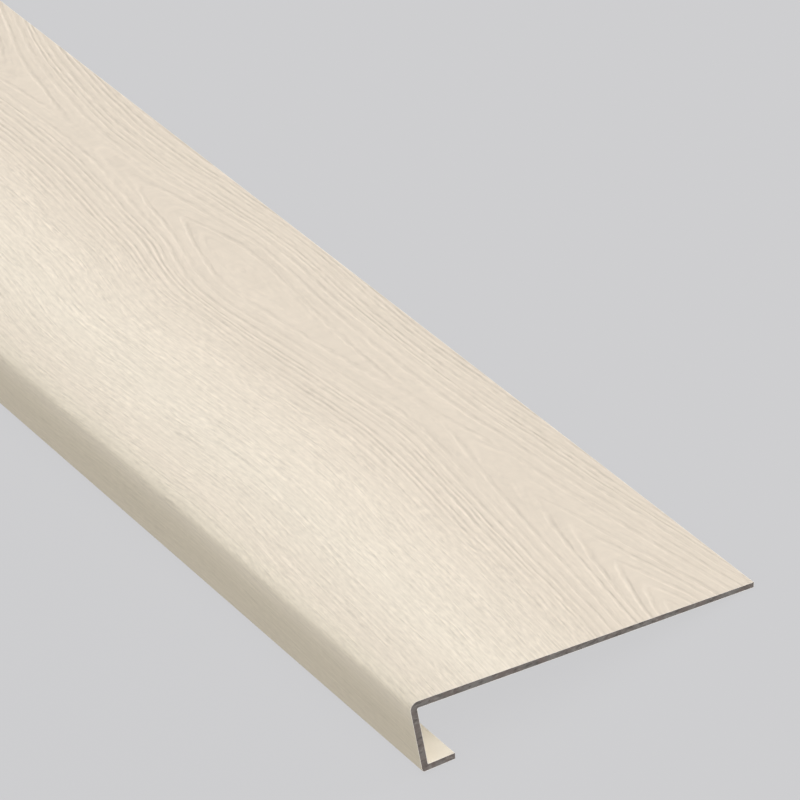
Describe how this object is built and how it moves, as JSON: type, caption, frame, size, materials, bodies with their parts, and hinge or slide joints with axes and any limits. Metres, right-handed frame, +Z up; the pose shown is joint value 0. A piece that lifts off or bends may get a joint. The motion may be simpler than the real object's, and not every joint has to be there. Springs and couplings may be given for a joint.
{
  "type": "stair tread",
  "caption": "Overlay stair tread in wood-look vinyl: a long plate whose front turns down as an apron and back as a lip, to cap the nose of an old step.",
  "frame": {"origin": "middle of the footprint, on the floor the tread rests on", "axes": "+X along the length, towards the cut end the picture shows; +Y from the rounded nose to the back edge; +Z up. The tread is stored as it rests unheld, tipped back about 12 degrees onto its lip's end and its back edge"},
  "size_m": [1.194, 0.3028, 0.0681],
  "materials": {
    "wood_decor": "matt cream wood-look film with embossed grain, over a dark moulded core that shows at the cut ends"
  },
  "bodies": {
    "root": {"tread": "wood_decor"}
  },
  "joints": []
}
